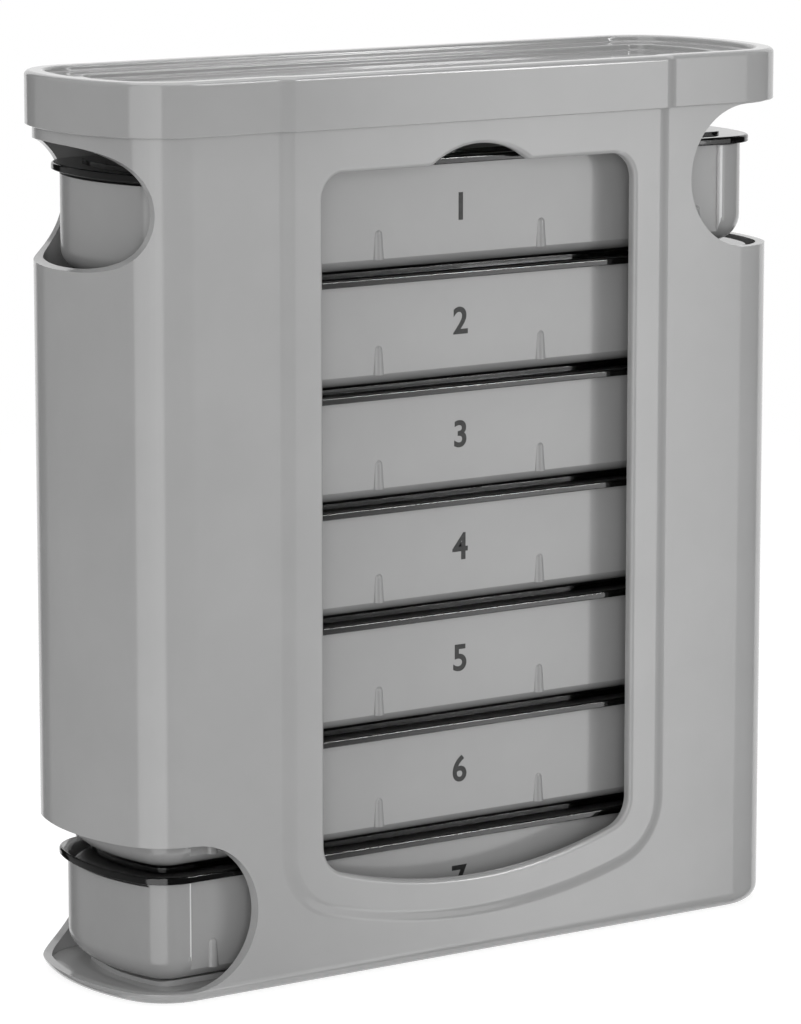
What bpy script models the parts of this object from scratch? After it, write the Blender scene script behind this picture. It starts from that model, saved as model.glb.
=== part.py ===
"""Weekly pill box: a tower housing with a lift-off cap, holding seven stacked day trays.

Each day tray has four pockets and a lid that slides along it in a dovetail channel.
Metres, +Z up. X runs along the trays, the window faces -Y, and the origin is the
centre of the housing's underside.
"""
import math

import bmesh
import bpy

# Day trays: flat sides and bowed ends, with a sunk label panel along the front
day_count = 7
tray_length = 0.1123
tray_depth = 0.0282
tray_corner = 0.0040
tray_end_radius = 0.0307
tray_height = 0.0150
tray_wall = 0.0012
tray_floor = 0.0012
tray_fillet = 0.0040
pocket_pitch = 0.0293
divider = 0.0010
pocket_corner = 0.0020
panel_length = 0.0958
panel_depth = 0.0007
panel_edge = 0.0004
mark_radius = 0.0009
mark_top_radius = 0.0006
mark_proud = 0.0005
mark_height = 0.0044
mark_rise = 0.0017

# Day lids: a plate that overhangs the tray, with a tongue below and a raised seat on top
lid_thickness = 0.0011
lid_overhang = 0.00126
lid_edge = 0.00045
lid_gap = 0.00025
tongue_thickness = 0.00085
tongue_end_gap = 0.0003
channel_margin = 0.0010
seat_height = 0.0004
seat_inset = 0.0045
seat_edge = 0.0002
stack_gap = 0.00025

# Housing: one moulding, open at the top, with a floor and a bed under the last tray
wall = 0.0018
shaft_clearance = 0.00089
floor_thickness = 0.0012
bed_height = 0.0008
base_fillet = 0.0025
head_room = 0.00992

# Raised shield round the window, with an S-shaped step at its edge
shield_margin = 0.0059
shield_proud = 0.0009
step_run = 0.0024
shield_bottom = 0.0071
shield_sag_radius = 0.0960
shield_corner = 0.0096

# Window with a bowed lower edge and a finger notch in its upper edge
window_width = 0.0558
window_top_margin = 0.0002
window_bottom = 0.0125
window_sag_radius = 0.0810
window_low_corner = 0.0047
window_top_corner = 0.0038
window_fillet = 0.0007
notch_width = 0.0174
notch_height = 0.0029
notch_blend = 0.0020

# Openings in the two ends: trays leave at the lower left and enter at the upper right
exit_height = 0.0218
exit_reach = 0.0215
exit_back_reach = 0.0125
exit_sill_gap = 0.0004
entry_height = 0.0219
entry_reach = 0.0212
entry_back_reach = 0.0125
entry_sill_gap = 0.0003
finger_radius = 0.0091
finger_reach = 0.0050
finger_back_reach = 0.0109
finger_rise = 0.0109
opening_fillet = 0.0005

# Cap: a skirt over the housing's top edge and a dish in two steps above it
cap_gap = 0.0003
cap_skirt_wall = 0.00075
cap_skirt = 0.00485
cap_plate = 0.0012
cap_edge = 0.0008
cap_inner_edge = 0.0005
dish_step = 0.0009
dish_rim = 0.0029
dish_ledge = 0.0055

# One overrun for every cut that passes a face, and the number of steps in the curves
overrun = 0.0010
tray_plan_steps = (3, 5)
housing_plan_steps = (5, 8)
mark_sides = 8
fillet_steps = 3
pocket_fillet_steps = 2
step_steps = 4
corner_steps = 5
sag_steps = 8
slot_steps = 20

# Sizes that follow from the ones above
tray_half = tray_length / 2
tray_side = tray_depth / 2
panel_half = panel_length / 2
panel_side = tray_side - panel_depth
channel_half = panel_side - tray_wall - channel_margin
tray_pitch = tray_height + lid_gap + lid_thickness + seat_height + stack_gap
housing_offset = lid_overhang + shaft_clearance + wall
housing_half = tray_half + housing_offset
housing_side = tray_side + housing_offset
lowest_tray = floor_thickness + bed_height + stack_gap
highest_tray = lowest_tray + (day_count - 1) * tray_pitch
stack_top = highest_tray + tray_pitch - stack_gap
cap_plate_bottom = stack_top + head_room
cap_offset = cap_gap + cap_skirt_wall
housing_top = cap_plate_bottom - cap_gap
window_half = window_width / 2
window_top = highest_tray + tray_height + lid_gap + window_top_margin
shield_half = window_half + shield_margin


def tray_bottom(day):
    """Height of a day tray's underside. Day 1 is at the top of the stack."""
    return lowest_tray + (day_count - day) * tray_pitch


def arc(cx, cy, radius, start, end, steps):
    """Points on a circle from one angle to another, both ends included."""
    angles = [start + (end - start) * i / steps for i in range(steps + 1)]
    return [(cx + radius * math.cos(a), cy + radius * math.sin(a)) for a in angles]


def bowed_end(half_length, side, corner, end_radius, steps):
    """The right end of a flat-sided plan, from the front round to the back.

    A bow centred on the X axis meets both flat sides through rounded corners.
    """
    bow_x = half_length - end_radius
    corner_y = side - corner
    corner_x = bow_x + math.sqrt((end_radius - corner) ** 2 - corner_y ** 2)
    turn = math.atan2(corner_y, corner_x - bow_x)
    corner_steps_here, bow_steps = steps
    front = arc(corner_x, -corner_y, corner, -math.pi / 2, -turn, corner_steps_here)
    bow = arc(bow_x, 0, end_radius, -turn, turn, bow_steps)
    return front + bow[1:-1] + [(x, -y) for x, y in front[::-1]]


def end_of_plan(offset, steps):
    """The right end of the tray's plan, moved outwards by an offset."""
    return bowed_end(tray_half + offset, tray_side + offset, tray_corner + offset,
                     tray_end_radius + offset, steps)


def plan(offset, steps):
    """The tray's plan moved outwards by an offset, anticlockwise. Every piece follows it."""
    right = end_of_plan(offset, steps)
    return right + [(-x, -y) for x, y in right]


def smooth_share(share):
    """The share of the way up an S-shaped step, level at both ends."""
    return share * share * (3 - 2 * share)


def stepped_plan(offset):
    """The housing's plan above the shield's foot, moved outwards by an offset."""
    side = housing_side + offset
    middle = shield_half + offset / 2
    foot_to_crest = []
    for i in range(step_steps + 1):
        share = i / step_steps
        x = middle + step_run * (1 - 2 * share) / 2
        foot_to_crest.append((x, -side - shield_proud * smooth_share(share)))
    front = [(-x, y) for x, y in foot_to_crest] + foot_to_crest[::-1]
    return plan(housing_offset + offset, housing_plan_steps) + front


def bowed_sides(half_width, bottom, sag_radius, corner, offset):
    """The right side, bowed lower edge and left side of an upright outline.

    The corners touch the sides and the bow, whose lowest point is at the bottom height.
    """
    centre_x = half_width - corner
    bow_centre = bottom + sag_radius
    centre_z = bow_centre - math.sqrt((sag_radius - corner) ** 2 - centre_x ** 2)
    lean = math.atan2(centre_z - bow_centre, centre_x)
    low_left = arc(-centre_x, centre_z, corner + offset, math.pi, math.pi - lean, corner_steps)
    bow = arc(0, bow_centre, sag_radius + offset, math.pi - lean, 2 * math.pi + lean, sag_steps)
    low_right = [(-x, z) for x, z in low_left[::-1]]
    return low_left + bow[1:-1] + low_right


def shield_outline(offset, top):
    """The shield in front view, from its left top corner down, round and up again."""
    sides = bowed_sides(shield_half, shield_bottom, shield_sag_radius, shield_corner, offset)
    half = shield_half + offset
    return [(-half, top)] + sides + [(half, top)]


def window_outline(offset):
    """The window in front view, with its finger notch, grown by an offset."""
    sides = bowed_sides(window_half, window_bottom, window_sag_radius, window_low_corner, offset)
    notch_radius = (notch_width ** 2 / 4 + notch_height ** 2) / (2 * notch_height)
    notch_centre = window_top + notch_height - notch_radius
    blend_z = window_top + notch_blend
    reach = notch_radius + notch_blend
    blend_x = math.sqrt(reach ** 2 - (blend_z - notch_centre) ** 2)
    lean = math.atan2(blend_z - notch_centre, blend_x)
    corner_x = window_half - window_top_corner
    corner_z = window_top - window_top_corner
    top_corner = arc(corner_x, corner_z, window_top_corner + offset, 0, math.pi / 2, corner_steps)
    blend = arc(blend_x, blend_z, notch_blend - offset, -math.pi / 2, lean - math.pi,
                fillet_steps)
    notch = arc(0, notch_centre, notch_radius + offset, lean, math.pi / 2, corner_steps)
    right_top = top_corner + blend + notch[1:]
    left_top = [(-x, z) for x, z in right_top[:-1][::-1]]
    return sides + right_top + left_top


def slot_outline(half_end, reach, radius, height, offset):
    """A round-nosed opening seen from the front, that runs out past a right-hand end."""
    nose_x = half_end - reach + radius
    nose = arc(nose_x, height, radius + offset, math.pi / 2, 3 * math.pi / 2, slot_steps)
    far = half_end + radius
    return nose + [(far, height - radius - offset), (far, height + radius + offset)]


def pocket_outline(start, end, inset, bowed):
    """A pocket's plan. An outer pocket follows the tray's bowed end."""
    front = panel_side - tray_wall - inset
    back = tray_side - tray_wall - inset
    if bowed:
        right = bowed_end(end - inset, (front + back) / 2, tray_corner - tray_wall - inset,
                          tray_end_radius - tray_wall - inset, tray_plan_steps)
        right = [(x, y + panel_depth / 2) for x, y in right]
    corner = pocket_corner - inset / 2
    left = start + inset + corner
    points = arc(left, corner - front, corner, math.pi, 3 * math.pi / 2, fillet_steps)
    if bowed:
        points += right
    else:
        far = end - inset - corner
        points += arc(far, corner - front, corner, -math.pi / 2, 0, fillet_steps)
        points += arc(far, back - corner, corner, 0, math.pi / 2, fillet_steps)
    points += arc(left, back - corner, corner, math.pi / 2, math.pi, fillet_steps)
    return points


def loft(name, rings):
    """A closed solid through rings of equal numbers of points, with flat ends."""
    bm = bmesh.new()
    rows = [[bm.verts.new(point) for point in ring] for ring in rings]
    count = len(rows[0])
    for low, high in zip(rows, rows[1:]):
        for i in range(count):
            j = (i + 1) % count
            bm.faces.new((low[i], low[j], high[j], high[i]))
    bm.faces.new(rows[0][::-1])
    bm.faces.new(rows[-1])
    bmesh.ops.recalc_face_normals(bm, faces=bm.faces)
    mesh = bpy.data.meshes.new(name)
    bm.to_mesh(mesh)
    bm.free()
    obj = bpy.data.objects.new(name, mesh)
    bpy.context.scene.collection.objects.link(obj)
    return obj


def level(outline, z):
    """A plan outline at a height."""
    return [(x, y, z) for x, y in outline]


def upright(outline, y):
    """A front-view outline at a depth."""
    return [(x, y, z) for x, z in outline]


def fillet(radius, steps):
    """Inset and rise at each step of a quarter-round from a flat face up to a side."""
    turns = [math.pi / 2 * i / steps for i in range(steps + 1)]
    return [(radius * (1 - math.sin(t)), radius * (1 - math.cos(t))) for t in turns]


def combine(target, tool, operation):
    """Apply an exact Boolean of a tool to a target, and remove the tool."""
    modifier = target.modifiers.new(operation, "BOOLEAN")
    modifier.operation = operation
    modifier.solver = "EXACT"
    modifier.object = tool
    bpy.context.view_layer.update()
    graph = bpy.context.evaluated_depsgraph_get()
    mesh = bpy.data.meshes.new_from_object(target.evaluated_get(graph))
    target.modifiers.clear()
    target.data = mesh
    bpy.data.objects.remove(tool)


def round_edges(obj, radius, steps, on_edge):
    """Round the edges whose middle passes a test, with a bevel of quarter circles."""
    bm = bmesh.new()
    bm.from_mesh(obj.data)
    sharp = math.radians(50)
    edges = [e for e in bm.edges
             if len(e.link_faces) == 2 and e.calc_face_angle() > sharp
             and on_edge((e.verts[0].co + e.verts[1].co) / 2)]
    bmesh.ops.bevel(bm, geom=edges, offset=radius, offset_type="OFFSET", segments=steps,
                    profile=0.5, affect="EDGES", clamp_overlap=True)
    bm.to_mesh(obj.data)
    bm.free()


def plastic(name, colour, roughness):
    """A moulded plastic: Principled BSDF with a colour and a roughness."""
    material = bpy.data.materials.new(name)
    material.use_nodes = True
    shader = material.node_tree.nodes["Principled BSDF"]
    shader.inputs["Base Color"].default_value = (*colour, 1)
    shader.inputs["Roughness"].default_value = roughness
    shader.inputs["Metallic"].default_value = 0
    return material


def finish(obj, material):
    """Give a piece its material and smooth shading with sharp corners."""
    obj.data.materials.clear()
    obj.data.materials.append(material)
    obj.data.shade_smooth()
    obj.data.set_sharp_from_angle(angle=math.radians(35))


def copy_at(obj, name, z):
    """A copy of a piece under its own name, sharing its mesh, at a height."""
    copy = bpy.data.objects.new(name, obj.data)
    bpy.context.scene.collection.objects.link(copy)
    copy.location.z = z
    return copy


def make_housing():
    """The tower: walls, floor and bed, shield, window and the three end openings."""
    rings = [level(plan(housing_offset - inset, housing_plan_steps), rise)
             for inset, rise in fillet(base_fillet, fillet_steps)]
    rings.append(level(plan(housing_offset, housing_plan_steps), housing_top))
    body = loft("housing", rings)

    buried = loft_shield(0, housing_top, -housing_side + wall / 2)
    combine(body, buried, "UNION")

    inner_side = housing_side - wall
    inside = plan(housing_offset - wall, housing_plan_steps)
    shaft = loft("shaft", [level(inside, floor_thickness), level(inside, housing_top + overrun)])
    combine(body, shaft, "DIFFERENCE")
    recess = loft_shield(-wall, housing_top + overrun, -inner_side + wall / 2)
    combine(body, recess, "DIFFERENCE")

    bed_plan = plan(lid_overhang - seat_inset, tray_plan_steps)
    bed = loft("bed", [level(bed_plan, floor_thickness / 2),
                       level(bed_plan, floor_thickness + bed_height)])
    combine(body, bed, "UNION")

    face = -housing_side - shield_proud
    flare = [(inset, face + rise) for inset, rise in fillet(window_fillet, fillet_steps)]
    rings = [upright(window_outline(window_fillet), face - overrun)]
    rings += [upright(window_outline(offset), depth) for offset, depth in flare]
    rings.append(upright(window_outline(0), -inner_side / 2))
    combine(body, loft("window", rings), "DIFFERENCE")

    exit_centre = lowest_tray - exit_sill_gap + exit_height / 2
    entry_centre = highest_tray - entry_sill_gap + entry_height / 2
    finger_centre = highest_tray + finger_rise
    slots = [(-1, exit_reach, exit_back_reach, exit_height / 2, exit_centre),
             (1, entry_reach, entry_back_reach, entry_height / 2, entry_centre),
             (-1, finger_reach, finger_back_reach, finger_radius, finger_centre)]
    for side, front_reach, back_reach, radius, height in slots:
        depth = housing_side + shield_proud + overrun
        rings = []
        for reach, y in ((front_reach, -depth), (back_reach, depth)):
            outline = slot_outline(housing_half, reach, radius, height, 0)
            rings.append(upright([(side * x, z) for x, z in outline], y))
        combine(body, loft("slot", rings), "DIFFERENCE")
        round_edges(body, opening_fillet, 2,
                    lambda p: on_slot(p, side, front_reach, back_reach, depth, radius, height))
    return body


def on_slot(point, side, front_reach, back_reach, depth, radius, height):
    """True for a point on a slot's cut face and on the wall's inner or outer face."""
    x = point.x * side
    reach = front_reach + (back_reach - front_reach) * (point.y + depth) / (2 * depth)
    nose_x = housing_half - reach + radius
    tolerance = radius / 100
    if x > nose_x:
        off = abs(abs(point.z - height) - radius)
    else:
        off = abs(math.hypot(x - nose_x, point.z - height) - radius)
    return off < tolerance


def loft_shield(offset, top, back):
    """The shield's solid, its edge an S-shaped step. The offset moves every face outwards."""
    rings = [upright(shield_outline(offset + step_run / 2, top), back)]
    for i in range(step_steps + 1):
        share = i / step_steps
        y = -housing_side - offset - shield_proud * smooth_share(share)
        rings.append(upright(shield_outline(offset + step_run * (1 - 2 * share) / 2, top), y))
    return loft("shield", rings)


def make_cap():
    """The cap: one profile carried round the housing's plan, from the dish to the inside."""
    rim_top = cap_plate_bottom + cap_plate + 2 * dish_step
    ledge = rim_top - dish_step
    dish = ledge - dish_step
    rim_inner = cap_offset - dish_rim
    skirt_bottom = cap_plate_bottom - cap_skirt
    inner_round = [(rim_inner + inset, rim_top - rise) for inset, rise in
                   fillet(cap_inner_edge, 2)]
    outer_round = [(cap_offset - inset, rim_top - rise) for inset, rise in
                   fillet(cap_edge, fillet_steps)]
    profile = [(rim_inner - dish_ledge, dish),
               (rim_inner - dish_ledge, ledge),
               (rim_inner, ledge)]
    profile += inner_round[::-1] + outer_round
    profile += [(cap_offset, skirt_bottom),
                (cap_gap, skirt_bottom),
                (cap_gap, cap_plate_bottom)]
    return loft("cap", [level(stepped_plan(offset), z) for offset, z in profile])


def make_tray():
    """A day tray at height zero: body, sunk label panel with its marks, pockets and channel."""
    rings = [level(plan(-inset, tray_plan_steps), rise)
             for inset, rise in fillet(tray_fillet, fillet_steps)]
    rings.append(level(plan(0, tray_plan_steps), tray_height))
    tray = loft("tray", rings)

    combine(tray, make_panel_cut(), "DIFFERENCE")

    for k in range(-2, 2):
        centre = (k + 1 / 2) * pocket_pitch
        combine(tray, make_mark(centre, -panel_side + mark_radius - mark_proud), "UNION")

    pocket_top = tray_height - tongue_thickness
    half_gap = divider / 2
    outer_end = tray_half - tray_wall
    spans = [(half_gap, pocket_pitch - half_gap, False),
             (pocket_pitch + half_gap, outer_end, True)]
    inner_fillet = tray_fillet - tray_wall
    for start, end, bowed in spans:
        rings = []
        for inset, rise in fillet(inner_fillet, pocket_fillet_steps):
            rings.append(level(pocket_outline(start, end, inset, bowed), tray_floor + rise))
        rings.append(level(pocket_outline(start, end, 0, bowed), pocket_top + stack_gap))
        mirrored = [[(-x, y, z) for x, y, z in ring] for ring in rings]
        combine(tray, loft("pocket", rings), "DIFFERENCE")
        combine(tray, loft("pocket", mirrored), "DIFFERENCE")

    low_half = channel_half + tongue_thickness
    top_half = channel_half - overrun
    section = [(-low_half, pocket_top), (low_half, pocket_top),
               (top_half, tray_height + overrun), (-top_half, tray_height + overrun)]
    end = tray_half + overrun
    channel = loft("channel", [[(x, y, z) for y, z in section] for x in (-end, end)])
    combine(tray, channel, "DIFFERENCE")
    return tray


def make_panel_cut():
    """The cut that sinks the label panel into the body, flared at its two ends."""
    corner = arc(panel_half + panel_edge, panel_edge - tray_side, panel_edge,
                 -math.pi / 2, -math.pi, 2)
    right = [(panel_half + panel_edge, -tray_side - overrun)] + corner
    right.append((panel_half, -panel_side))
    outline = right + [(-x, y) for x, y in right[::-1]]
    return loft("panel_cut", [level(outline, -overrun), level(outline, tray_height + overrun)])


def make_mark(x, y):
    """A small upright rib that widens downwards, with a domed top, under a pocket's middle."""
    dome = mark_rise + mark_height - mark_top_radius
    profile = [(mark_radius, mark_rise), (mark_top_radius, dome)]
    for i in range(1, fillet_steps):
        turn = math.pi / 2 * i / fillet_steps
        profile.append((mark_top_radius * math.cos(turn),
                        dome + mark_top_radius * math.sin(turn)))
    rings = [level(arc(x, y, radius, 0, 2 * math.pi, mark_sides)[:-1], z)
             for radius, z in profile]
    return loft("mark", rings)


def make_lid():
    """A day lid at height zero: plate, raised seat for the tray above, and tongue."""
    lid = loft("lid", [level(plan(lid_overhang - inset, tray_plan_steps), z) for inset, z in
                       ((0, 0),
                        (0, lid_thickness - lid_edge),
                        (lid_edge / 3, lid_thickness - lid_edge / 3),
                        (lid_edge, lid_thickness))])
    seat_top = lid_thickness + seat_height
    seat_offset = lid_overhang - seat_inset
    seat = loft("seat", [level(plan(seat_offset - inset, tray_plan_steps), z) for inset, z in
                         ((0, lid_thickness / 2),
                          (0, seat_top - seat_edge),
                          (seat_edge, seat_top))])
    combine(lid, seat, "UNION")

    slant_gap = lid_gap * math.sqrt(2)
    rings = []
    for z in (-tongue_thickness, 0, lid_thickness / 2):
        half_width = channel_half - lid_gap - min(z, 0) - slant_gap
        radius = tray_end_radius - tongue_end_gap
        turn = math.asin(half_width / radius)
        right = arc(tray_half - tray_end_radius, 0, radius, -turn, turn, tray_plan_steps[1])
        rings.append(level(right + [(-x, -y) for x, y in right], z))
    combine(lid, loft("tongue", rings), "UNION")
    return lid


for old in list(bpy.data.objects):
    bpy.data.objects.remove(old)

housing_plastic = plastic("light_grey_plastic", (0.40, 0.40, 0.40), 0.35)
cap_plastic = plastic("light_grey_cap_plastic", (0.43, 0.43, 0.43), 0.35)
tray_plastic = plastic("light_grey_tray_plastic", (0.38, 0.38, 0.38), 0.4)
lid_plastic = plastic("smoke_tinted_clear_plastic", (0.08, 0.08, 0.08), 0.10)

finish(make_housing(), housing_plastic)
finish(make_cap(), cap_plastic)

tray = make_tray()
finish(tray, tray_plastic)
lid = make_lid()
finish(lid, lid_plastic)
for day in range(1, day_count + 1):
    copy_at(tray, f"day_tray_{day}", tray_bottom(day))
    copy_at(lid, f"day_lid_{day}", tray_bottom(day) + tray_height + lid_gap)
bpy.data.objects.remove(tray)
bpy.data.objects.remove(lid)
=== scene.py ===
"""Weekly pill box: a grey plastic tower with seven stacked day trays under clear smoke lids.

Metres, +Z up. X runs along the trays, the window faces -Y, and the origin is the centre of
the tower's underside. Each section makes one piece or one group of like pieces.
"""
import math

import bmesh
import bpy
import numpy as np
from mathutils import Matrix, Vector


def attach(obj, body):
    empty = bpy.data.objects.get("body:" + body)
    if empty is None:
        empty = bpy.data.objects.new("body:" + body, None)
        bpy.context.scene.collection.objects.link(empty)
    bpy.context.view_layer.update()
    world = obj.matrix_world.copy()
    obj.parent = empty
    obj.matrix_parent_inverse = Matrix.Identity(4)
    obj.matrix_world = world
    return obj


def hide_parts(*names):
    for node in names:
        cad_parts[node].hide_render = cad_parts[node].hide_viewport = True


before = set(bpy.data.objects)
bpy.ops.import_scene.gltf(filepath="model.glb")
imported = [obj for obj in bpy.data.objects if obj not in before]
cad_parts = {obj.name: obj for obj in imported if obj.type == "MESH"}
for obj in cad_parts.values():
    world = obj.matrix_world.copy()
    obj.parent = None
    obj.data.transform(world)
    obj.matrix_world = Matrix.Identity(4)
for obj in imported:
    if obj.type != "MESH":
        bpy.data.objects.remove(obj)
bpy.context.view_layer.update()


# The tower is one injection moulding in light grey polystyrene: a wall round the shaft, a
# floor, a raised shield round the front window, and openings where trays leave and enter.
# Its plan is the day trays' plan moved outwards, flat sides with bowed ends.
tray_length = 0.1123
tray_depth = 0.0282
tray_corner = 0.0060
tray_bow = 0.0307

tower_offset = 0.00395
tower_wall = 0.0014
tower_top = 0.13062
tower_floor = 0.0012
bed_height = 0.0008
bed_offset = -0.00324
foot_fillet = 0.0025

shield_half = 0.0338
shield_proud = 0.0009
shield_run = 0.0024
shield_bottom = 0.0071
shield_sag = 0.0960
shield_corner = 0.0096

window_half = 0.0279
window_top = 0.1197
window_bottom = 0.0125
window_sag = 0.0810
window_low_corner = 0.0047
window_top_corner = 0.0038
window_round = 0.0007
notch_width = 0.0174
notch_height = 0.0029
notch_blend = 0.0020

# Trays leave by the first end opening and enter by the second, and the third is for a
# finger. Each row gives the side, the reaches at the front and the back, radius and height.
opening_rows = [(-1, 0.0215, 0.0125, 0.0109, 0.01275),
                (1, 0.0212, 0.0125, 0.01095, 0.11490),
                (-1, 0.0050, 0.0109, 0.0091, 0.11515)]
opening_round = 0.0006
sharp_corner = math.radians(50)
overrun = 0.0010

# Nearly all of a noise texture's values lie between these two
noise_low = 0.3
noise_high = 0.7


def arc(centre_x, centre_y, radius, start, end, count):
    """Points at equal turns: the centre plus the radius times cosine and sine of the turn."""
    turn = np.linspace(start, end, count)
    return np.column_stack((centre_x + radius * np.cos(turn),
                            centre_y + radius * np.sin(turn)))


def ring(centre_x, centre_y, radius, count):
    """A full circle of points at equal turns."""
    return arc(centre_x, centre_y, radius, 0, 2 * math.pi, count + 1)[:-1]


def bowed_plan(offset, corner_count=17, bow_count=25):
    """The trays' plan moved outwards by an offset, anticlockwise.

    A bow centred on the X axis touches a corner circle, which touches the flat side, so
    the corner's centre is where the two distances, bow less corner and side less corner, meet.
    """
    bow_x = tray_length / 2 - tray_bow
    corner_y = tray_depth / 2 - tray_corner
    corner_x = bow_x + math.sqrt((tray_bow - tray_corner) ** 2 - corner_y ** 2)
    turn = math.atan2(corner_y, corner_x - bow_x)
    front = arc(corner_x, -corner_y, tray_corner + offset, -math.pi / 2, -turn, corner_count)
    bow = arc(bow_x, 0, tray_bow + offset, -turn, turn, bow_count)[1:-1]
    right = np.vstack((front, bow, front[::-1] * (1, -1)))
    return np.vstack((right, -right))


def level(outline, z):
    """A plan outline at a height."""
    return np.column_stack((outline, np.full(len(outline), z)))


def upright(outline, y):
    """A front-view outline at a depth."""
    return np.column_stack((outline[:, 0], np.full(len(outline), y), outline[:, 1]))


def quarter(radius, count):
    """Inset and rise round a quarter circle: radius times (1 - sine) and (1 - cosine)."""
    turn = np.linspace(0, math.pi / 2, count)
    return list(zip(radius * (1 - np.sin(turn)), radius * (1 - np.cos(turn))))


def s_step(share):
    """An S from 0 to 1 with level ends: share squared times (3 - 2 share)."""
    return share ** 2 * (3 - 2 * share)


def skin(name, rings):
    """A closed surface through rings of points, one ring after the other.

    Each quad joins two neighbouring points of a ring to the same two of the next ring, and
    a flat face closes each end.
    """
    rings = np.asarray(rings)
    rows, count = rings.shape[:2]
    here = np.arange(count)
    after = np.roll(here, -1)
    start = np.arange(rows - 1)[:, None] * count
    quads = np.stack((start + here, start + after, start + count + after,
                      start + count + here), -1)
    ends = [here[::-1].tolist(), (here + (rows - 1) * count).tolist()]
    mesh = bpy.data.meshes.new(name)
    mesh.from_pydata(rings.reshape(-1, 3), [], quads.reshape(-1, 4).tolist() + ends)
    shape = bmesh.new()
    shape.from_mesh(mesh)
    bmesh.ops.recalc_face_normals(shape, faces=shape.faces)
    shape.to_mesh(mesh)
    shape.free()
    piece = bpy.data.objects.new(name, mesh)
    bpy.context.scene.collection.objects.link(piece)
    return piece


def combine(piece, tool, operation):
    """Adds a solid to a piece, or cuts it out of the piece, and removes the solid."""
    modifier = piece.modifiers.new(operation, "BOOLEAN")
    modifier.operation = operation
    modifier.solver = "EXACT"
    modifier.object = tool
    bpy.context.view_layer.update()
    graph = bpy.context.evaluated_depsgraph_get()
    mesh = bpy.data.meshes.new_from_object(piece.evaluated_get(graph))
    piece.modifiers.clear()
    piece.data = mesh
    bpy.data.objects.remove(tool)


def bowed_sides(half, bottom, sag, corner, offset):
    """Left side, bowed lower edge and right side in front view.

    Each corner circle touches its side and, from inside, the bow's circle. So the two
    centres are as far apart as the bow's radius less the corner's.
    """
    centre_x = half - corner
    bow_z = bottom + sag
    centre_z = bow_z - math.sqrt((sag - corner) ** 2 - centre_x ** 2)
    lean = math.atan2(centre_z - bow_z, centre_x)
    left = arc(-centre_x, centre_z, corner + offset, math.pi, math.pi - lean, count=13)
    bow = arc(0, bow_z, sag + offset, math.pi - lean, 2 * math.pi + lean, count=41)[1:-1]
    return np.vstack((left, bow, left[::-1] * (-1, 1)))


def shield(offset, back, count=9):
    """The shield's solid, from its back forwards. It narrows evenly as it rises along an S.

    With no offset it ends at the tower's top, and else it is a cut that goes on above it.
    """
    top = tower_top if offset == 0 else tower_top + overrun

    def outline(grow):
        sides = bowed_sides(shield_half, shield_bottom, shield_sag, shield_corner, grow)
        half = shield_half + grow
        return np.vstack(([(-half, top)], sides, [(half, top)]))

    rings = [upright(outline(offset + shield_run / 2), back)]
    face = -tray_depth / 2 - tower_offset - offset
    for share in np.linspace(0, 1, count):
        y = face - shield_proud * s_step(share)
        rings.append(upright(outline(offset + shield_run * (1 - 2 * share) / 2), y))
    return skin("shield", rings)


def window_outline(offset):
    """The window in front view, with the finger notch in its top edge.

    The notch's radius is (half its width squared plus its height squared) over twice its
    height. Each blend circle rests on the top edge and touches the notch's circle.
    """
    sides = bowed_sides(window_half, window_bottom, window_sag, window_low_corner, offset)
    radius = (notch_width ** 2 / 4 + notch_height ** 2) / (2 * notch_height)
    centre = window_top + notch_height - radius
    blend_z = window_top + notch_blend
    blend_x = math.sqrt((radius + notch_blend) ** 2 - (blend_z - centre) ** 2)
    lean = math.atan2(blend_z - centre, blend_x)
    corner = arc(window_half - window_top_corner, window_top - window_top_corner,
                 window_top_corner + offset, 0, math.pi / 2, count=11)
    blend = arc(blend_x, blend_z, notch_blend - offset, -math.pi / 2, lean - math.pi,
                count=6)
    notch = arc(0, centre, radius + offset, lean, math.pi / 2, count=15)[1:]
    right = np.vstack((corner, blend, notch))
    return np.vstack((sides, right, right[-2::-1] * (-1, 1)))


def opening_tool(side, front_reach, back_reach, radius, height, depth):
    """A slot through an end, with a half circle for a nose.

    The nose's reach from the end changes evenly from the front to the back.
    """
    end = tray_length / 2 + tower_offset
    rings = []
    for reach, y in ((front_reach, -depth), (back_reach, depth)):
        nose = arc(end - reach + radius, height, radius, math.pi / 2, 3 * math.pi / 2,
                   count=41)
        far = [(end + radius, height - radius), (end + radius, height + radius)]
        rings.append(upright(np.vstack((nose, far)) * (side, 1), y))
    return skin("opening", rings)


def round_opening(piece, side, front_reach, back_reach, radius, height, depth):
    """Rounds the edges that an end opening leaves in the wall.

    They are the sharp edges whose middle lies on the slot's outline, within a hundredth of
    its radius: a radius from the nose's centre, or, past the nose, from its middle line.
    """
    shape = bmesh.new()
    shape.from_mesh(piece.data)
    edges = [edge for edge in shape.edges
             if len(edge.link_faces) == 2 and edge.calc_face_angle() > sharp_corner]
    middle = np.array([(edge.verts[0].co + edge.verts[1].co) / 2 for edge in edges])
    share = (middle[:, 1] + depth) / (2 * depth)
    nose = (tray_length / 2 + tower_offset - front_reach + radius
            + (front_reach - back_reach) * share)
    past = middle[:, 0] * side - nose
    rise = middle[:, 2] - height
    off = np.where(past > 0, np.abs(np.abs(rise) - radius),
                   np.abs(np.hypot(past, rise) - radius))
    on_outline = off < radius / 100
    chosen = [edge for edge, near in zip(edges, on_outline) if near]
    bmesh.ops.bevel(shape, geom=chosen, offset=opening_round, offset_type="OFFSET",
                    segments=4, profile=0.5, affect="EDGES", clamp_overlap=True)
    shape.to_mesh(piece.data)
    shape.free()


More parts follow.
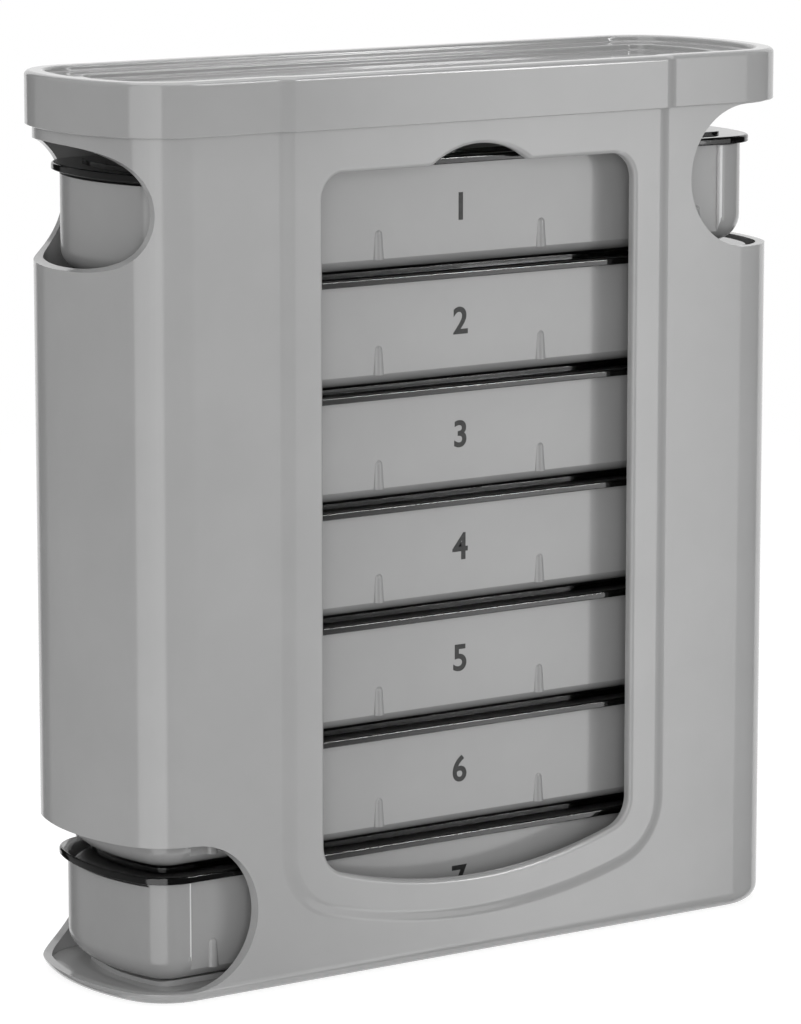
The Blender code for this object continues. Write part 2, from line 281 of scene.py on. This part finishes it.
def smooth(piece, sharp_from=30):
    """Smooth shading with sharp corners, and normals that keep the flat faces flat."""
    piece.data.shade_smooth()
    piece.data.set_sharp_from_angle(angle=math.radians(sharp_from))
    modifier = piece.modifiers.new("even_normals", "WEIGHTED_NORMAL")
    modifier.keep_sharp = True
    modifier.weight = 50


tower = skin("tower", [level(bowed_plan(tower_offset - inset), rise)
                       for inset, rise in quarter(foot_fillet, count=8)]
             + [level(bowed_plan(tower_offset), tower_top)])
tower_side = tray_depth / 2 + tower_offset
combine(tower, shield(0, -tower_side + tower_wall / 2), "UNION")
inside = bowed_plan(tower_offset - tower_wall)
combine(tower, skin("shaft", [level(inside, tower_floor), level(inside, tower_top + overrun)]),
        "DIFFERENCE")
# The shield is hollow behind: its own shape, one wall smaller, is cut out of the shaft's side
combine(tower, shield(-tower_wall, -tower_side + tower_wall * 2), "DIFFERENCE")
bed = bowed_plan(bed_offset)
combine(tower, skin("bed", [level(bed, tower_floor / 2),
                            level(bed, tower_floor + bed_height)]), "UNION")
front_face = -tower_side - shield_proud
flare = [upright(window_outline(inset), front_face + rise)
         for inset, rise in quarter(window_round, count=6)]
combine(tower, skin("window", [upright(window_outline(window_round), front_face - overrun)]
                    + flare + [upright(window_outline(0), -tower_side / 2)]), "DIFFERENCE")
depth = tower_side + shield_proud + overrun
for row in opening_rows:
    combine(tower, opening_tool(*row, depth), "DIFFERENCE")
    round_opening(tower, *row, depth)
smooth(tower)


def colour(code):
    """An sRGB hex colour as linear red, green and blue, with alpha 1.

    A dark part is divided by 12.92. Any other has 0.055 added, is divided by 1.055 and is
    raised to the power 2.4.
    """
    parts = np.array([int(code[i:i + 2], 16) for i in (1, 3, 5)]) / 255
    parts = np.where(parts <= 0.04045, parts / 12.92, ((parts + 0.055) / 1.055) ** 2.4)
    return (*parts.tolist(), 1)


def add(tree, kind, inputs=(), **settings):
    """Adds a node. An input is a value, or the socket that feeds it."""
    made = tree.nodes.new(kind)
    for key, value in settings.items():
        setattr(made, key, value)
    for key, value in dict(inputs).items():
        if isinstance(value, bpy.types.NodeSocket):
            tree.links.new(value, made.inputs[key])
        else:
            made.inputs[key].default_value = value
    return made


def shaded(name):
    """A new material, its nodes, its Principled shader and its Object coordinates."""
    material = bpy.data.materials.new(name)
    material.use_nodes = True
    tree = material.node_tree
    place = add(tree, "ShaderNodeTexCoord").outputs["Object"]
    return material, tree, tree.nodes["Principled BSDF"], place


def moulded_polystyrene(name, pale, deep, roughness, wave=0.05):
    """Injection moulded, opaque polystyrene from a polished tool.

    The eye sees a soft gloss, a very faint cloud where the melt flowed, about 14 mm across,
    and the slight waviness of the skin under a moving highlight. Real waviness is about
    0.3 mm across. It is drawn near 0.9 mm so that it shows.
    """
    flow = 0.014
    skin_wave = 0.0009
    skin_wave_depth = 0.00004
    gloss_patch = flow / 3
    gloss_change = 0.05
    material, tree, shader, place = shaded(name)
    cloud = add(tree, "ShaderNodeTexNoise", {"Vector": place, "Scale": 1 / flow, "Detail": 3,
                                             "Roughness": 0.55})
    tone = add(tree, "ShaderNodeValToRGB", {"Fac": cloud.outputs["Fac"]})
    tone.color_ramp.elements[0].position = noise_low
    tone.color_ramp.elements[0].color = colour(deep)
    tone.color_ramp.elements[1].position = noise_high
    tone.color_ramp.elements[1].color = colour(pale)
    tree.links.new(tone.outputs["Color"], shader.inputs["Base Color"])
    gloss = add(tree, "ShaderNodeTexNoise", {"Vector": place, "Scale": 1 / gloss_patch,
                                             "Detail": 2})
    spread = add(tree, "ShaderNodeMapRange", {"Value": gloss.outputs["Fac"],
                                              "From Min": noise_low, "From Max": noise_high,
                                              "To Min": roughness * (1 - gloss_change),
                                              "To Max": roughness * (1 + gloss_change)})
    tree.links.new(spread.outputs["Result"], shader.inputs["Roughness"])
    ripple = add(tree, "ShaderNodeTexNoise", {"Vector": place, "Scale": 1 / skin_wave,
                                              "Detail": 1})
    bump = add(tree, "ShaderNodeBump", {"Height": ripple.outputs["Fac"], "Strength": wave,
                                        "Distance": skin_wave_depth})
    tree.links.new(bump.outputs["Normal"], shader.inputs["Normal"])
    shader.inputs["IOR"].default_value = 1.55
    return material


def dress(piece, *materials):
    """Gives a piece its materials, in place of any that it has."""
    piece.data.materials.clear()
    for material in materials:
        piece.data.materials.append(material)


dress(tower, moulded_polystyrene("moulded_polystyrene_tower", "#B4B4B4", "#B0B0B0",
                                 roughness=0.12))
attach(tower, "housing")
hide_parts("housing")


# Each day tray is a moulding in the same grey plastic, with four pockets between three
# walls, a label panel sunk into its front, four small ribs at the panel's foot, and a
# channel along its top in which the lid's tongue slides.
day_count = 7
lowest_tray = 0.00225
tray_pitch = 0.0170
tray_height = 0.0150
tray_wall = 0.0012
tray_floor = 0.0012
tray_fillet = 0.0040
pocket_pitch = 0.0293
divider = 0.0010
pocket_corner = 0.0020
panel_half = 0.0479
panel_depth = 0.0007
panel_edge = 0.0004
rib_radius = 0.0010
rib_tip = 0.00075
rib_proud = 0.0006
rib_foot = 0.0017
rib_height = 0.0044
tongue_depth = 0.0004
channel_margin = 0.0010
tray_softening = 0.00015
panel_side = tray_depth / 2 - panel_depth
channel_half = panel_side - tray_wall - channel_margin


def tray_bottom(day):
    """The height of a day's tray: day 7 stands lowest, and each other one a pitch higher."""
    return lowest_tray + (day_count - day) * tray_pitch


def pocket_plan(start, end, inset, bowed):
    """A pocket's plan: rounded corners at the dividers, and the tray's bow at an outer end.

    The bow's and the outer corners' radii are the tray's, less its wall and the inset. The
    pocket's middle line lies half the panel's depth behind the tray's.
    """
    front = panel_side - tray_wall - inset
    back = tray_depth / 2 - tray_wall - inset
    corner = pocket_corner - inset / 2
    left = start + inset + corner
    points = [arc(left, corner - front, corner, math.pi, 3 * math.pi / 2, count=7)]
    if bowed:
        half = (front + back) / 2
        bow = tray_bow - tray_wall - inset
        turn_radius = tray_corner - tray_wall - inset
        bow_x = end - inset - bow
        turn_y = half - turn_radius
        turn_x = bow_x + math.sqrt((bow - turn_radius) ** 2 - turn_y ** 2)
        turn = math.atan2(turn_y, turn_x - bow_x)
        low = arc(turn_x, -turn_y, turn_radius, -math.pi / 2, -turn, count=9)
        middle = arc(bow_x, 0, bow, -turn, turn, count=21)[1:-1]
        points.append(np.vstack((low, middle, low[::-1] * (1, -1))) + (0, panel_depth / 2))
    else:
        far = end - inset - corner
        points.append(arc(far, corner - front, corner, -math.pi / 2, 0, count=7))
        points.append(arc(far, back - corner, corner, 0, math.pi / 2, count=7))
    points.append(arc(left, back - corner, corner, math.pi / 2, math.pi, count=7))
    return np.vstack(points)


body = skin("day_tray", [level(bowed_plan(-inset), rise)
                         for inset, rise in quarter(tray_fillet, count=10)]
            + [level(bowed_plan(0), tray_height)])
lip = arc(panel_half + panel_edge, panel_edge - tray_depth / 2, panel_edge,
          -math.pi / 2, -math.pi, count=6)
right = np.vstack(([(panel_half + panel_edge, -tray_depth / 2 - overrun)], lip,
                   [(panel_half, -panel_side)]))
cut = np.vstack((right, right[::-1] * (-1, 1)))
combine(body, skin("panel", [level(cut, -overrun), level(cut, tray_height + overrun)]),
        "DIFFERENCE")
dome = rib_foot + rib_height - rib_tip
rib_profile = [(rib_radius, rib_foot), *arc(0, dome, rib_tip, 0, math.pi / 2, count=6)[:-1]]
for pocket in range(-2, 2):
    centre = ((pocket + 1 / 2) * pocket_pitch, rib_radius - rib_proud - panel_side)
    combine(body, skin("rib", [level(ring(*centre, radius, count=24), z)
                               for radius, z in rib_profile]), "UNION")
pocket_top = tray_height - tongue_depth
# An inner and an outer pocket, each with its mirror image
for start, end, bowed in ((divider / 2, pocket_pitch - divider / 2, False),
                          (pocket_pitch + divider / 2, tray_length / 2 - tray_wall, True)):
    rings = [level(pocket_plan(start, end, inset, bowed), tray_floor + rise)
             for inset, rise in quarter(tray_fillet - tray_wall, count=6)]
    rings.append(level(pocket_plan(start, end, 0, bowed), pocket_top + overrun / 4))
    combine(body, skin("pocket", rings), "DIFFERENCE")
    combine(body, skin("pocket", np.asarray(rings) * (-1, 1, 1)), "DIFFERENCE")
# The channel is a dovetail whose flanks lean at 45 degrees
floor_half = channel_half + tongue_depth
mouth_half = channel_half - overrun
section = np.array([(-floor_half, pocket_top), (floor_half, pocket_top),
                    (mouth_half, tray_height + overrun), (-mouth_half, tray_height + overrun)])
ends = [np.column_stack((np.full(len(section), x), section))
        for x in (-tray_length / 2 - overrun, tray_length / 2 + overrun)]
combine(body, skin("channel", ends), "DIFFERENCE")


def at_height(pattern, name, z, soften):
    """A copy of a piece, raised in its mesh by z, with its corners rounded by soften."""
    piece = bpy.data.objects.new(name, pattern.data.copy())
    shift = np.empty(len(piece.data.vertices) * 3)
    piece.data.vertices.foreach_get("co", shift)
    shift.reshape(-1, 3)[:, 2] += z
    piece.data.vertices.foreach_set("co", shift)
    bpy.context.scene.collection.objects.link(piece)
    if soften:
        modifier = piece.modifiers.new("tray_corners", "BEVEL")
        modifier.width = soften
        modifier.segments = 2
        modifier.limit_method = "ANGLE"
        modifier.angle_limit = sharp_corner
        modifier.use_clamp_overlap = True
    smooth(piece)
    return piece


tray_plastic = moulded_polystyrene("moulded_polystyrene_trays", "#A7A7A7", "#A3A3A3",
                                   roughness=0.15)
# The sunk panel's upright edges are coloured near white as a painted highlight for the light
# they catch, and are more polished
painted_highlight_lip = moulded_polystyrene("painted_highlight_polished_lip", "#F4F4F4", "#ECECEC",
                                  roughness=0.08)
# The faces on the panel's upright edges get the near-white painted highlight
centres = np.empty(len(body.data.polygons) * 3)
body.data.polygons.foreach_get("center", centres)
centres = centres.reshape(-1, 3)
across = np.abs(centres[:, 0]) - panel_half
on_lip = ((across > 0) & (across < panel_edge) & (centres[:, 1] < -panel_side)
          & (centres[:, 2] > tray_fillet))
dress(body, tray_plastic, painted_highlight_lip)
body.data.polygons.foreach_set("material_index", on_lip.astype(np.int32))
for day in range(1, day_count + 1):
    tray = at_height(body, f"tray_{day}_with_pockets", tray_bottom(day), tray_softening)
    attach(tray, f"tray_{day}")
    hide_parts(f"day_tray_{day}")
bpy.data.objects.remove(body)


# A plain number marks each day's label panel. It is pad printed: one thin, even film of
# dark grey ink, a little duller than the plastic under it.
number_height = 0.0041
number_centre = 0.00865
ink_film = 0.00004
stroke_growth_share = 0.022
letter_depth_share = 0.01


def printed_ink(name, thick, thin):
    """Pad printing ink.

    The eye sees one flat dark tone. In specks of about 0.4 mm its film is a touch thinner,
    which shows a little paler.
    """
    speck = 0.0004
    speck_depth = 0.00001
    material, tree, shader, place = shaded(name)
    grain = add(tree, "ShaderNodeTexNoise", {"Vector": place, "Scale": 1 / speck, "Detail": 2})
    tone = add(tree, "ShaderNodeValToRGB", {"Fac": grain.outputs["Fac"]})
    tone.color_ramp.elements[0].position = 0.35
    tone.color_ramp.elements[0].color = colour(thick)
    tone.color_ramp.elements[1].position = 0.75
    tone.color_ramp.elements[1].color = colour(thin)
    tree.links.new(tone.outputs["Color"], shader.inputs["Base Color"])
    bump = add(tree, "ShaderNodeBump", {"Height": grain.outputs["Fac"], "Strength": 0.1,
                                        "Distance": speck_depth})
    tree.links.new(bump.outputs["Normal"], shader.inputs["Normal"])
    shader.inputs["Roughness"].default_value = 0.3
    return material


ink = printed_ink("pad_printed_grey_ink", "#242424", "#303030")
for day in range(1, day_count + 1):
    letter = bpy.data.curves.new("number", "FONT")
    letter.body = str(day)
    letter.offset = stroke_growth_share
    letter.extrude = letter_depth_share
    letter.resolution_u = 12
    writing = bpy.data.objects.new("writing", letter)
    bpy.context.scene.collection.objects.link(writing)
    bpy.context.view_layer.update()
    graph = bpy.context.evaluated_depsgraph_get()
    mesh = bpy.data.meshes.new_from_object(writing.evaluated_get(graph))
    bpy.data.objects.remove(writing)
    flat = np.empty(len(mesh.vertices) * 3)
    mesh.vertices.foreach_get("co", flat)
    flat = flat.reshape(-1, 3)
    low, high = flat.min(0), flat.max(0)
    scale = number_height / (high[1] - low[1])
    middle = (low + high) / 2
    height = tray_bottom(day) + number_centre
    placed = np.column_stack(((flat[:, 0] - middle[0]) * scale,
                              -panel_side - np.sign(flat[:, 2]) * ink_film / 2,
                              height + (flat[:, 1] - middle[1]) * scale))
    mesh.vertices.foreach_set("co", placed.ravel())
    number = bpy.data.objects.new(f"printed_number_{day}", mesh)
    bpy.context.scene.collection.objects.link(number)
    dress(number, ink)
    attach(number, f"tray_{day}")


# Each lid is a thin plate in clear, smoke tinted polystyrene that overhangs its tray. A
# raised seat takes the tray above, and a tongue below slides in the tray's channel.
lid_gap = 0.00025
lid_thickness = 0.0011
lid_overhang = 0.00126
lid_edge = 0.0004
lid_low_edge = lid_edge / 3
seat_height = 0.0004
seat_edge = 0.0001
tongue_end_gap = 0.0003


def rounded_plate(name, offset, bottom, top, low_edge, high_edge, count=7):
    """A plate on the plan: a quarter round at its lower edge, and one at its upper edge."""
    rings = [level(bowed_plan(offset - inset), bottom + rise)
             for inset, rise in quarter(low_edge, count)]
    rings += [level(bowed_plan(offset - inset), top - rise)
              for inset, rise in quarter(high_edge, count)[::-1]]
    return skin(name, rings)


plate = rounded_plate("day_lid", lid_overhang, 0, lid_thickness, lid_low_edge, lid_edge)
seat_top = lid_thickness + seat_height
combine(plate, rounded_plate("seat", bed_offset, lid_thickness / 2, seat_top, seat_edge,
                             seat_edge), "UNION")
# The flanks lean at 45 degrees, so the gap square to one takes root 2 times itself off the
# tongue's half width
rings = []
for z in (-tongue_depth, 0, lid_thickness / 2):
    half_width = channel_half - lid_gap - min(z, 0) - lid_gap * math.sqrt(2)
    reach = tray_bow - tongue_end_gap
    turn = math.asin(half_width / reach)
    right = arc(tray_length / 2 - tray_bow, 0, reach, -turn, turn, count=25)
    rings.append(level(np.vstack((right, -right)), z))
combine(plate, skin("tongue", rings), "UNION")


def smoke_polystyrene(name, tint, roughness):
    """Clear general purpose polystyrene with a smoke tint, from a mirror polished tool.

    The eye sees through it, dimmed to about a seventh, and sees a crisp reflection on top.
    Where the melt flowed, in patches about 4 mm across, the reflection is up to twice as
    soft. Each of the plate's two faces takes the square root of the dimming.
    """
    flow = 0.004
    material, tree, shader, place = shaded(name)
    patches = add(tree, "ShaderNodeTexNoise", {"Vector": place, "Scale": 1 / flow,
                                               "Detail": 2})
    spread = add(tree, "ShaderNodeMapRange", {"Value": patches.outputs["Fac"],
                                              "From Min": noise_low, "From Max": noise_high,
                                              "To Min": roughness, "To Max": roughness * 2})
    tree.links.new(spread.outputs["Result"], shader.inputs["Roughness"])
    shader.inputs["Base Color"].default_value = colour(tint)
    shader.inputs["Transmission Weight"].default_value = 1.0
    shader.inputs["IOR"].default_value = 1.59
    return material


dress(plate, smoke_polystyrene("clear_smoke_polystyrene", "#6A6A6A", roughness=0.02))
for day in range(1, day_count + 1):
    height = tray_bottom(day) + tray_height + lid_gap
    lid = at_height(plate, f"lid_{day}_with_seat", height, soften=0)
    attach(lid, f"lid_{day}" if day in (1, 7) else f"tray_{day}")
    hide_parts(f"day_lid_{day}")
bpy.data.objects.remove(plate)


# The lift-off cap is a moulding in the tower's plastic: a skirt that hangs over the
# tower's wall, a rounded rim, and a dish that goes down in two steps.
cap_gap = 0.0003
cap_offset = 0.00105
cap_skirt = 0.00485
cap_plate_bottom = tower_top + cap_gap
cap_plate = 0.0012
cap_round = 0.0008
cap_inner_round = 0.0005
cap_foot_round = 0.0002
dish_step = 0.0009
dish_rim = 0.0029
dish_ledge = 0.0055
dish_round = 0.0003


def stepped_plan(offset, count=9):
    """The tower's plan moved outwards, with the shield's step, which is an S, on its front."""
    share = np.linspace(0, 1, count)
    x = shield_half + offset / 2 + shield_run * (1 - 2 * share) / 2
    y = -tray_depth / 2 - tower_offset - offset - shield_proud * s_step(share)
    edge = np.column_stack((x, y))
    return np.vstack((bowed_plan(tower_offset + offset), edge * (-1, 1), edge[::-1]))


rim_top = cap_plate_bottom + cap_plate + 2 * dish_step
ledge = rim_top - dish_step
dish = ledge - dish_step
rim_inner = cap_offset - dish_rim
dish_edge = rim_inner - dish_ledge
skirt_bottom = cap_plate_bottom - cap_skirt

# The cap's section as offsets and heights: from the dish, over its ledge and the rim, down
# the skirt and back up inside it
small_round = quarter(dish_round, count=5)
profile = [(dish_edge - inset, dish + rise) for inset, rise in small_round]
profile += [(dish_edge + inset, ledge - rise) for inset, rise in small_round[::-1]]
profile += [(rim_inner - inset, ledge + rise) for inset, rise in small_round]
profile += [(rim_inner + inset, rim_top - rise)
            for inset, rise in quarter(cap_inner_round, count=7)[::-1]]
profile += [(cap_offset - inset, rim_top - rise)
            for inset, rise in quarter(cap_round, count=9)]
profile += [(cap_offset - inset, skirt_bottom + rise)
            for inset, rise in quarter(cap_foot_round, count=4)[::-1]]
profile += [(cap_gap, skirt_bottom), (cap_gap, cap_plate_bottom)]
cap = skin("cap_with_dish", [level(stepped_plan(offset), z) for offset, z in profile])
smooth(cap)
dress(cap, moulded_polystyrene("moulded_polystyrene_cap", "#B2B2B2", "#AEAEAE",
                               roughness=0.06, wave=0.001))
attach(cap, "cap")
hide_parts("cap")


# A pale table, a white surround with grey flags for the gloss to mirror, four soft lamps
# and the camera. None of it is part of the pill box.
table_radius = 0.60
table_drop = 0.00002
surround_radius = 0.50
surround_bottom = -0.6
surround_top = 0.9


def in_sight(tree):
    """1 on camera, mirror and glass rays, as the greatest of the three, and 0 on others."""
    rays = add(tree, "ShaderNodeLightPath").outputs
    seen = rays["Is Camera Ray"]
    for kind in ("Is Glossy Ray", "Is Transmission Ray"):
        greatest = add(tree, "ShaderNodeMath", {0: seen, 1: rays[kind]}, operation="MAXIMUM")
        seen = greatest.outputs[0]
    return seen


def table_material():
    """Matt white card, which fades out evenly between two distances from the pill box.

    In sight it is a darker card plus a glow, so that it reads as white and keeps the
    shadow. Its grain is about 2 mm across.
    """
    fade_from = 0.22
    fade_to = 0.50
    grain_size = 0.002
    grain_depth = 0.0001
    material = bpy.data.materials.new("matt_white_card")
    material.use_nodes = True
    tree = material.node_tree
    tree.nodes.clear()
    place = add(tree, "ShaderNodeTexCoord").outputs["Object"]
    distance = add(tree, "ShaderNodeVectorMath", {0: place}, operation="LENGTH")
    fade = add(tree, "ShaderNodeMapRange", {"Value": distance.outputs["Value"],
                                            "From Min": fade_from, "From Max": fade_to})
    grain = add(tree, "ShaderNodeTexNoise", {"Vector": place, "Scale": 1 / grain_size,
                                             "Detail": 2})
    bump = add(tree, "ShaderNodeBump", {"Height": grain.outputs["Fac"], "Strength": 0.05,
                                        "Distance": grain_depth})
    card = add(tree, "ShaderNodeBsdfDiffuse", {"Color": colour("#F2F2F2"),
                                               "Normal": bump.outputs["Normal"]})
    shade = add(tree, "ShaderNodeBsdfDiffuse", {"Color": colour("#A0A0A0")})
    glow = add(tree, "ShaderNodeEmission", {"Color": colour("#FFFFFF"), "Strength": 0.85})
    white = add(tree, "ShaderNodeAddShader", {0: shade.outputs[0], 1: glow.outputs[0]})
    lit = add(tree, "ShaderNodeMixShader", {0: in_sight(tree), 1: card.outputs[0],
                                            2: white.outputs[0]})
    gone = add(tree, "ShaderNodeBsdfTransparent")
    mixed = add(tree, "ShaderNodeMixShader", {0: fade.outputs["Result"], 1: lit.outputs[0],
                                              2: gone.outputs[0]})
    add(tree, "ShaderNodeOutputMaterial", {"Surface": mixed.outputs[0]})
    return material


table_edge = ring(0, 0, table_radius, count=96)
table_mesh = bpy.data.meshes.new("table")
table_mesh.from_pydata(level(table_edge, -table_drop), [], [list(range(len(table_edge)))])
table_mesh.materials.append(table_material())
table = bpy.data.objects.new("table", table_mesh)
# The gloss mirrors the surround and not the table
table.visible_glossy = False
bpy.context.scene.collection.objects.link(table)


def flag_material(stops, hot):
    """White surround with grey flags and two soft boxes, as a strength for each turn.

    The turn is in degrees, from straight behind, past the left end, to the front and the
    right end. The ramp holds each strength as its share of the brightest one. High up the
    brightest box is hotter, which only edges rounded upwards mirror.
    """
    hot_height = 0.16
    hot_blend = 0.03
    hot_box_share = 0.93
    brightest = max(value for degrees, value in stops)
    material = bpy.data.materials.new("studio_surround")
    material.use_nodes = True
    tree = material.node_tree
    tree.nodes.clear()
    place = add(tree, "ShaderNodeTexCoord").outputs["Object"]
    turned = add(tree, "ShaderNodeMapping", {"Vector": place,
                                             "Rotation": (0, 0, math.radians(90))})
    turn = add(tree, "ShaderNodeTexGradient", {"Vector": turned.outputs[0]},
               gradient_type="RADIAL")
    tone = add(tree, "ShaderNodeValToRGB", {"Fac": turn.outputs["Fac"]})
    ramp = tone.color_ramp.elements
    while len(ramp) > 1:
        ramp.remove(ramp[-1])
    ramp[0].position = 0
    ramp[0].color = (stops[0][1] / brightest,) * 3 + (1,)
    for degrees, value in stops[1:]:
        stop = ramp.new(degrees / 360)
        stop.color = (value / brightest,) * 3 + (1,)
    height = add(tree, "ShaderNodeSeparateXYZ", {0: place}).outputs["Z"]
    above = add(tree, "ShaderNodeMapRange", {"Value": height, "From Min": hot_height,
                                             "From Max": hot_height + hot_blend})
    box = add(tree, "ShaderNodeMath", {0: tone.outputs["Color"], 1: hot_box_share},
              operation="GREATER_THAN")
    glowing = add(tree, "ShaderNodeMath", {0: above.outputs[0], 1: box.outputs[0]},
                  operation="MULTIPLY")
    strength = add(tree, "ShaderNodeMapRange", {"Value": glowing.outputs[0],
                                                "To Min": brightest, "To Max": hot})
    glow = add(tree, "ShaderNodeEmission", {"Color": tone.outputs["Color"],
                                            "Strength": strength.outputs[0]})
    add(tree, "ShaderNodeOutputMaterial", {"Surface": glow.outputs[0]})
    return material


# Turn in degrees and strength, white being 1
flags = [(0, 1.0), (1, 1.0), (3, 0.02), (14, 0.02), (17, 0.25), (102, 0.25), (106, 1.9),
         (147, 1.9), (150, 0.1), (208, 0.1), (215, 2.2), (220, 2.2), (223, 0.05),
         (272, 0.05), (276, 1.0), (360, 1.0)]
surround_edge = ring(0, 0, surround_radius, count=128)
here = np.arange(len(surround_edge))
after = np.roll(here, -1)
wall = np.column_stack((here, here + len(here), after + len(here), after))
wall_mesh = bpy.data.meshes.new("surround")
wall_mesh.from_pydata(np.vstack((level(surround_edge, surround_bottom),
                                 level(surround_edge, surround_top))), [], wall.tolist())
wall_mesh.materials.append(flag_material(flags, hot=14.0))
surround = bpy.data.objects.new("surround", wall_mesh)
# Only the gloss sees the surround
for kind in ("camera", "diffuse", "transmission", "volume_scatter", "shadow"):
    setattr(surround, "visible_" + kind, False)
bpy.context.scene.collection.objects.link(surround)


lamp_target = Vector((0, 0, 0.07))
# One row for each lamp: name, place, width, height and watts
lamp_rows = [("right_lamp", (0.38, -0.60, 0.14), 0.24, 0.40, 1.0),
             ("left_lamp", (-0.38, -0.58, 0.18), 0.40, 0.40, 1.4),
             ("back_lamp", (-0.45, 0.55, 0.25), 0.50, 0.40, 1.2),
             ("top_lamp", (0.05, 0.05, 0.75), 0.60, 0.60, 2.0)]
for name, place, width, height, watts in lamp_rows:
    lamp = bpy.data.lights.new(name, "AREA")
    lamp.shape = "RECTANGLE"
    lamp.size = width
    lamp.size_y = height
    lamp.energy = watts
    holder = bpy.data.objects.new(name, lamp)
    holder.location = place
    aim = lamp_target - Vector(place)
    holder.rotation_euler = aim.to_track_quat("-Z", "Y").to_euler()
    bpy.context.scene.collection.objects.link(holder)

# The world lights the pill box softly, and where it is in sight it is white
world = bpy.data.worlds.new("white_studio")
bpy.context.scene.world = world
world.use_nodes = True
tree = world.node_tree
tree.nodes.clear()
soft = add(tree, "ShaderNodeBackground", {"Color": colour("#FFFFFF"), "Strength": 0.29})
backdrop = add(tree, "ShaderNodeBackground", {"Color": colour("#FFFFFF"), "Strength": 1.0})
mixed = add(tree, "ShaderNodeMixShader", {0: in_sight(tree), 1: soft.outputs[0],
                                          2: backdrop.outputs[0]})
add(tree, "ShaderNodeOutputWorld", {"Surface": mixed.outputs[0]})

# The camera stands where a pinhole camera fitted to the photograph's edges does
camera_place = (-0.40743, -0.594085, 0.19184)
camera_tilt = 80.023
camera_turn = -34.337
eye = bpy.data.cameras.new("camera")
eye.sensor_width = 36
eye.lens = 169.79
eye.clip_start = 0.05
eye.clip_end = 20
camera = bpy.data.objects.new("camera", eye)
camera.location = camera_place
camera.rotation_euler = (math.radians(camera_tilt), 0, math.radians(camera_turn))
bpy.context.scene.collection.objects.link(camera)
bpy.context.scene.camera = camera
bpy.context.scene.view_settings.view_transform = "Standard"
